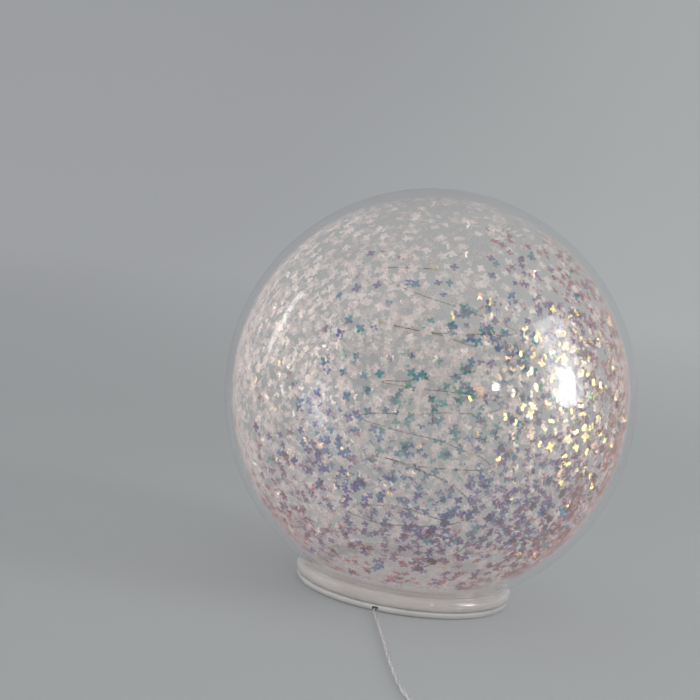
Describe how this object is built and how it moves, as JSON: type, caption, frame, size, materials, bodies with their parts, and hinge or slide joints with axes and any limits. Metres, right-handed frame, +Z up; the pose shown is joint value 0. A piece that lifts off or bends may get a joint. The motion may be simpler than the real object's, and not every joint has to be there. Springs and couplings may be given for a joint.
{
  "type": "decorative glitter globe light",
  "caption": "Clear glass globe lined with iridescent flakes on a push-fit base, with a micro LED wire inside and a thin lead to a battery pack.",
  "frame": {"origin": "centre of the base's flat underside, on the surface that the globe stands on", "axes": "+Z up along the globe's axis; -Y towards the side where the lead leaves the base"},
  "size_m": [0.2117, 0.2716, 0.1483],
  "materials": {
    "clear_glass": "clear and smooth",
    "iridescent_flakes": "iridescent film flakes, loose coverage",
    "milky_plastic": "milky clear, satin gloss",
    "clear_rubber": "soft, translucent",
    "copper_wire": "lacquered copper",
    "clear_resin": "clear gloss",
    "clear_lead": "clear, with silver strands showing",
    "tie_plastic": "satin",
    "pack_plastic": "fine moulded texture",
    "dark_plastic": "satin",
    "cell_sleeve": "printed sleeve, gloss",
    "plated_steel": "bright plated",
    "circuit_board": "solder mask"
  },
  "bodies": {
    "base": {"base_plug": "milky_plastic", "plug_seal": "clear_rubber", "cable_gland": "clear_rubber", "light_wire": "copper_wire", "lead_cord": "clear_lead", "lead_coil": "clear_lead", "lead_tail": "clear_lead", "coil_tie": "tie_plastic", "strain_relief": "clear_rubber", "battery_case": "pack_plastic", "cell_1": "cell_sleeve", "cell_2": "cell_sleeve", "contact_spring_1": "plated_steel", "contact_spring_2": "plated_steel", "negative_plate": "plated_steel", "positive_plate": "plated_steel", "bridge_plate": "plated_steel", "link_pin_1": "plated_steel", "link_pin_2": "plated_steel", "circuit_board": "circuit_board", "driver_chip": "dark_plastic", "switch_body": "dark_plastic", "led_bead_01": "clear_resin", "led_bead_02": "clear_resin", "led_bead_03": "clear_resin", "led_bead_04": "clear_resin", "led_bead_05": "clear_resin", "led_bead_06": "clear_resin", "led_bead_07": "clear_resin", "led_bead_08": "clear_resin", "led_bead_09": "clear_resin", "led_bead_10": "clear_resin"},
    "globe": {"globe_shell": "clear_glass", "flake_lining": "iridescent_flakes"},
    "battery_cover": {"battery_cover": "pack_plastic"},
    "switch_knob": {"switch_knob": "dark_plastic"}
  },
  "joints": [
    {"name": "globe_lift", "type": "slide", "parent": "base", "child": "globe", "axis": [0, 0, 1], "range_m": [0, 0.13]},
    {"name": "cover_slide", "type": "slide", "parent": "base", "child": "battery_cover", "axis": [1, 0, 0], "range_m": [0, 0.058]},
    {"name": "switch_slide", "type": "slide", "parent": "base", "child": "switch_knob", "axis": [0, 1, 0], "range_m": [0, 0.0024]}
  ]
}
